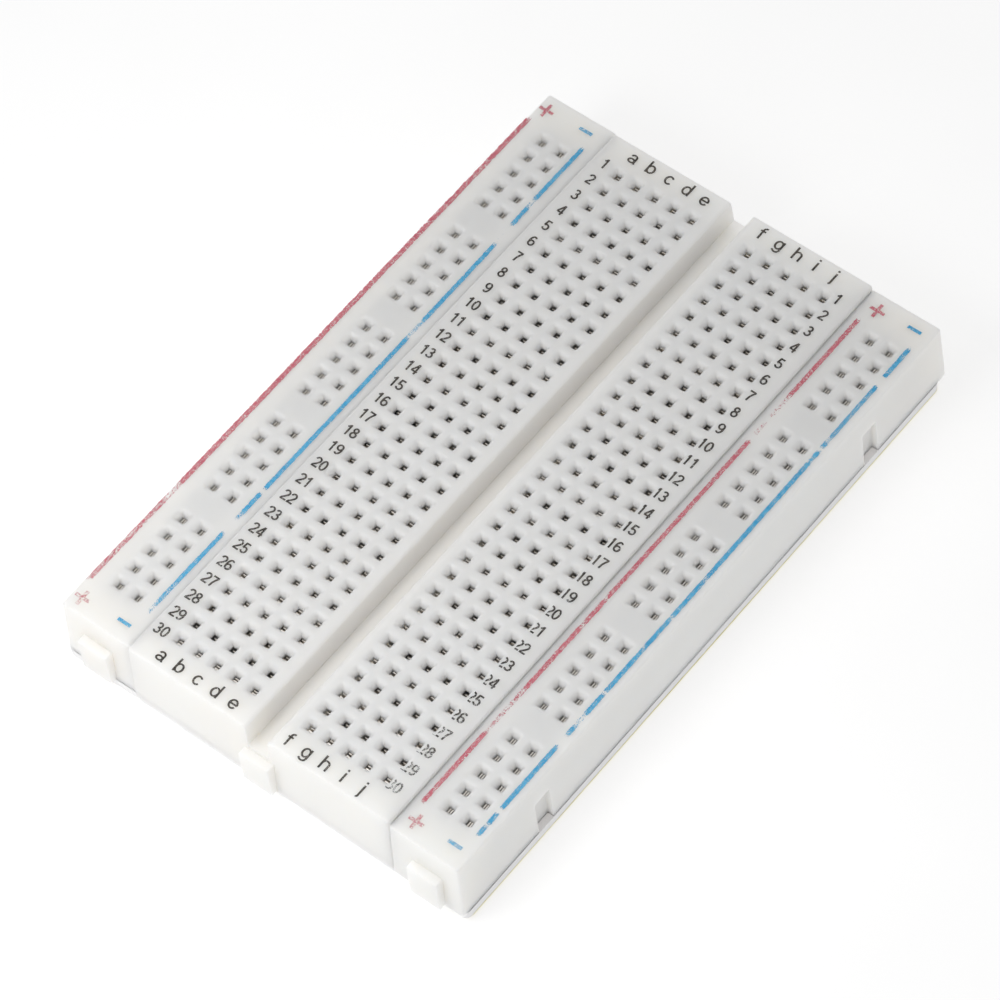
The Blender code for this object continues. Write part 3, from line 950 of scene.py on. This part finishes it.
def add_mark(bm, centre, bars, worn_inside):
    """A plus or a minus as one outline of its bars, given thickness and worn inside."""
    worn = bm.verts.layers.float.get("wear") or bm.verts.layers.float.new("wear")
    if len(bars) == 1:
        (w, h), = bars
        outline = [(-w, -h), (w, -h), (w, h), (-w, h)]
    else:
        w, t = bars[0]
        outline = [(-t, -w), (t, -w), (t, -t), (w, -t), (w, t), (t, t),
                   (t, w), (-t, w), (-t, t), (-w, t), (-w, -t), (-t, -t)]
    low = [bm.verts.new(centre + Vector((x * MM, y * MM, -INK_THICKNESS / 2))) for x, y in outline]
    high = [bm.verts.new(centre + Vector((x * MM, y * MM, INK_THICKNESS / 2))) for x, y in outline]
    bm.faces.new(list(reversed(low)))
    face = bm.faces.new(high)
    for k in range(len(outline)):
        nxt = (k + 1) % len(outline)
        bm.faces.new((low[k], low[nxt], high[nxt], high[k]))
    bm.normal_update()
    bmesh.ops.inset_region(bm, faces=[face], thickness=0.07 * MM)
    for vert in face.verts:
        vert[worn] = worn_inside


# ------------ materials

class Nodes:
    """A short way to write a material's node tree."""

    def __init__(self, name):
        self.material = bpy.data.materials.new(name)
        self.material.use_nodes = True
        self.tree = self.material.node_tree
        self.shader = self.tree.nodes["Principled BSDF"]

    def add(self, kind, **settings):
        node = self.tree.nodes.new(kind)
        for key, value in settings.items():
            if hasattr(node, key):
                setattr(node, key, value)
            else:
                node.inputs[key.replace("_", " ")].default_value = value
        return node

    def join(self, source, target):
        self.tree.links.new(source, target)

    def noise(self, scale, detail=4.0, rough=0.55, stretch=(1, 1, 1)):
        coords = self.add("ShaderNodeTexCoord")
        mapping = self.add("ShaderNodeMapping")
        mapping.inputs["Scale"].default_value = stretch
        self.join(coords.outputs["Object"], mapping.inputs["Vector"])
        texture = self.add("ShaderNodeTexNoise", Scale=scale, Detail=detail, Roughness=rough)
        self.join(mapping.outputs["Vector"], texture.inputs["Vector"])
        return texture.outputs["Fac"]

    def ramp(self, value, stops):
        node = self.add("ShaderNodeValToRGB")
        elements = node.color_ramp.elements
        while len(elements) < len(stops):
            elements.new(0.5)
        for element, (position, colour) in zip(elements, stops):
            element.position = position
            element.color = colour if len(colour) == 4 else (*colour, 1)
        self.join(value, node.inputs["Fac"])
        return node.outputs["Color"]

    def math(self, operation, a, b):
        node = self.add("ShaderNodeMath", operation=operation)
        for socket, value in zip(node.inputs, (a, b)):
            if isinstance(value, (int, float)):
                socket.default_value = value
            else:
                self.join(value, socket)
        return node.outputs[0]

    def bump(self, height, strength, distance, normal=None):
        node = self.add("ShaderNodeBump", Strength=strength, Distance=distance)
        self.join(height, node.inputs["Height"])
        if normal is not None:
            self.join(normal, node.inputs["Normal"])
        return node.outputs["Normal"]

    def set(self, **values):
        for key, value in values.items():
            self.shader.inputs[key.replace("_", " ")].default_value = value


def grey(value):
    return (value, value, value, 1)


def plastic_material():
    """Milky moulded ABS that light sinks into, with faint flow marks, rubbed patches and scratches."""
    n = Nodes("milky_white_abs")
    flow = n.noise(60, 3, 0.5, (1.0, 0.35, 1.0))
    tints = [(0.3, (0.920, 0.893, 0.852)), (0.55, (0.932, 0.906, 0.870)), (0.8, (0.942, 0.921, 0.890))]
    tint = n.ramp(flow, tints)
    n.join(tint, n.shader.inputs["Base Color"])
    rubbed = n.noise(220, 5, 0.6)
    rough = n.ramp(rubbed, [(0.3, grey(0.34)), (0.7, grey(0.5))])
    n.join(rough, n.shader.inputs["Roughness"])
    grain = n.noise(2600, 3, 0.6)
    scratches = n.noise(700, 2, 0.5, (1.0, 14.0, 1.0))
    normal = n.bump(grain, 0.10, 0.00003)
    normal = n.bump(scratches, 0.05, 0.00003, normal)
    n.join(normal, n.shader.inputs["Normal"])
    n.set(Subsurface_Weight=1.0, Subsurface_Scale=0.0024, IOR=1.45)
    n.shader.inputs["Subsurface Radius"].default_value = (1.0, 0.97, 0.92)
    return n.material


def metal_material():
    """Nickel-plated spring bronze, drawn along the strip and dulled in patches."""
    n = Nodes("nickel_plated_spring")
    patches = n.noise(900, 4, 0.6)
    tint = n.ramp(patches, [(0.3, (0.76, 0.71, 0.64)), (0.7, (0.92, 0.89, 0.85))])
    n.join(tint, n.shader.inputs["Base Color"])
    drawn = n.noise(900, 3, 0.5, (0.4, 12.0, 1.0))
    rough = n.ramp(drawn, [(0.3, grey(0.26)), (0.7, grey(0.46))])
    n.join(rough, n.shader.inputs["Roughness"])
    n.join(n.bump(drawn, 0.2, 0.00002), n.shader.inputs["Normal"])
    n.set(Metallic=1.0)
    return n.material


def foam_material():
    """Closed-cell foam: fine pits, a dry matt surface and a faint lilac cast."""
    n = Nodes("closed_cell_foam")
    cells = n.add("ShaderNodeTexVoronoi", Scale=5200.0)
    coords = n.add("ShaderNodeTexCoord")
    n.join(coords.outputs["Object"], cells.inputs["Vector"])
    tint = n.ramp(cells.outputs["Distance"], [(0.0, (0.97, 0.965, 0.97)), (0.6, (0.92, 0.915, 0.925))])
    n.join(tint, n.shader.inputs["Base Color"])
    rough = n.ramp(n.noise(1500, 3), [(0.3, grey(0.78)), (0.7, grey(0.95))])
    n.join(rough, n.shader.inputs["Roughness"])
    n.join(n.bump(cells.outputs["Distance"], 0.25, 0.00004), n.shader.inputs["Normal"])
    return n.material


def paper_material():
    """Waxed release paper: pale yellow with fibres, faint mottling and a soft sheen."""
    n = Nodes("waxed_yellow_paper")
    mottle = n.noise(160, 5, 0.6)
    tint = n.ramp(mottle, [(0.3, (0.66, 0.60, 0.20)), (0.7, (0.78, 0.73, 0.32))])
    n.join(tint, n.shader.inputs["Base Color"])
    rough = n.ramp(n.noise(420, 4), [(0.3, grey(0.36)), (0.7, grey(0.55))])
    n.join(rough, n.shader.inputs["Roughness"])
    fibres = n.noise(1400, 4, 0.65, (1.0, 0.25, 1.0))
    n.join(n.bump(fibres, 0.25, 0.00004), n.shader.inputs["Normal"])
    return n.material


def ink_material(name, thin, full, wear_scale, threshold):
    """Pad-printed ink, chipped away where the wear attribute says and a little all over."""
    n = Nodes(name)
    density = n.noise(1900, 3, 0.6)
    tint = n.ramp(density, [(0.35, thin), (0.6, full)])
    n.join(tint, n.shader.inputs["Base Color"])
    n.join(n.ramp(density, [(0.3, grey(0.42)), (0.7, grey(0.6))]), n.shader.inputs["Roughness"])
    n.join(n.bump(density, 0.2, 0.00001), n.shader.inputs["Normal"])
    worn = n.add("ShaderNodeAttribute", attribute_name="wear").outputs["Fac"]
    broad = n.noise(wear_scale, 6, 0.72, (1.0, 0.55, 1.0))
    speckle = n.noise(wear_scale * 3.2, 2, 0.6)
    chips = n.math("ADD", n.math("MULTIPLY", broad, 0.4), n.math("MULTIPLY", speckle, 0.6))
    kept = n.math("SUBTRACT", chips, n.math("MULTIPLY", worn, 0.40))
    mask = n.ramp(kept, [(threshold - 0.03, grey(0)), (threshold + 0.03, grey(1))])
    n.join(mask, n.shader.inputs["Alpha"])
    return n.material


def floor_material():
    """Pale floor with a faint tint, lit from within so that it stays near white."""
    n = Nodes("pale_floor")
    tint = n.ramp(n.noise(14, 3), [(0.3, (0.58, 0.58, 0.58)), (0.7, (0.62, 0.62, 0.62))])
    n.join(tint, n.shader.inputs["Base Color"])
    n.set(Roughness=0.9)
    n.shader.inputs["Emission Color"].default_value = (1, 1, 1, 1)
    n.shader.inputs["Emission Strength"].default_value = 0.53
    return n.material


# ------------ studio

CAMERA_AZIMUTH = math.radians(45.28)
CAMERA_ELEVATION = math.radians(56.4)
CAMERA_ROLL = math.radians(-7.81)
CAMERA_LENS = 189.4
CAMERA_PLACE = (219.2 * MM, -218.7 * MM, 460.5 * MM)
CAMERA_DATUM = 1.0 * MM


def add_camera():
    """A long lens over the board's near right corner, rolled a little."""
    back = Vector((math.sin(CAMERA_AZIMUTH) * math.cos(CAMERA_ELEVATION),
                   -math.cos(CAMERA_AZIMUTH) * math.cos(CAMERA_ELEVATION), math.sin(CAMERA_ELEVATION)))
    level = Vector((math.cos(CAMERA_AZIMUTH), math.sin(CAMERA_AZIMUTH), 0))
    upright = back.cross(level)
    right = math.cos(CAMERA_ROLL) * level + math.sin(CAMERA_ROLL) * upright
    up = back.cross(right)
    turn = Matrix((right, up, back)).transposed().to_4x4()
    data = bpy.data.cameras.new("camera")
    data.lens = CAMERA_LENS
    data.sensor_width = 36
    data.clip_end = 10
    camera = bpy.data.objects.new("camera", data)
    bpy.context.scene.collection.objects.link(camera)
    datum = Vector((GRID.x, GRID.y, TERMINAL_HIGH.z - CAMERA_DATUM))
    camera.matrix_world = Matrix.Translation(datum + Vector(CAMERA_PLACE)) @ turn
    bpy.context.scene.camera = camera


def add_light(name, position, target, size, power):
    """A soft round panel that the camera doesn't see."""
    data = bpy.data.lights.new(name, "AREA")
    data.shape = "DISK"
    data.size = size
    data.energy = power
    light = bpy.data.objects.new(name, data)
    bpy.context.scene.collection.objects.link(light)
    light.visible_camera = False
    light.location = position
    light.rotation_euler = (Vector(target) - Vector(position)).to_track_quat("-Z", "Y").to_euler()


def add_studio():
    scene = bpy.context.scene
    scene.view_settings.view_transform = "Standard"
    world = bpy.data.worlds.new("studio")
    world.use_nodes = True
    world.node_tree.nodes["Background"].inputs["Color"].default_value = (1, 1, 1, 1)
    world.node_tree.nodes["Background"].inputs["Strength"].default_value = 0.508
    scene.world = world
    add_light("near_panel", (-0.05, -0.16, 0.14), (0.0, -0.03, 0.0), 0.12, 0.05)
    add_light("near_top", (-0.02, -0.065, 0.10), (0.0, -0.045, 0.0), 0.08, 0.030)
    add_light("overhead", (-0.1, -0.1, 0.8), (0, 0, 0), 0.6, 0.80)
    bm = bmesh.new()
    bmesh.ops.create_grid(bm, x_segments=8, y_segments=8, size=1.5)
    floor = link("floor", mesh_from_bmesh("floor", bm))
    floor.location.z = -0.0001
    floor.data.materials.append(floor_material())


def main():
    add_camera()
    plastic = plastic_material()
    pieces = {
        "terminal_strip": (terminal_moulding(), "terminal_housing"),
        "left_rail": (rail_moulding("left"), "power_rail_left"),
        "right_rail": (rail_moulding("right"), "power_rail_right"),
    }
    for body, (piece, node) in pieces.items():
        piece.data.materials.clear()
        piece.data.materials.append(plastic)
        place(piece, body, "white_plastic", node)
    add_clips(metal_material())
    add_tape(foam_material(), paper_material())
    black = ink_material("dark_ink", (0.10, 0.085, 0.07), (0.035, 0.03, 0.025), 2600, 0.40)
    inks = {
        "plus": ink_material("red_ink", (0.68, 0.22, 0.26), (0.58, 0.12, 0.17), 3200, 0.45),
        "minus": ink_material("blue_ink", (0.12, 0.48, 0.76), (0.04, 0.36, 0.66), 2800, 0.435),
    }
    add_row_numbers(black)
    add_column_letters(black)
    add_rail_print(inks)
    add_studio()


main()
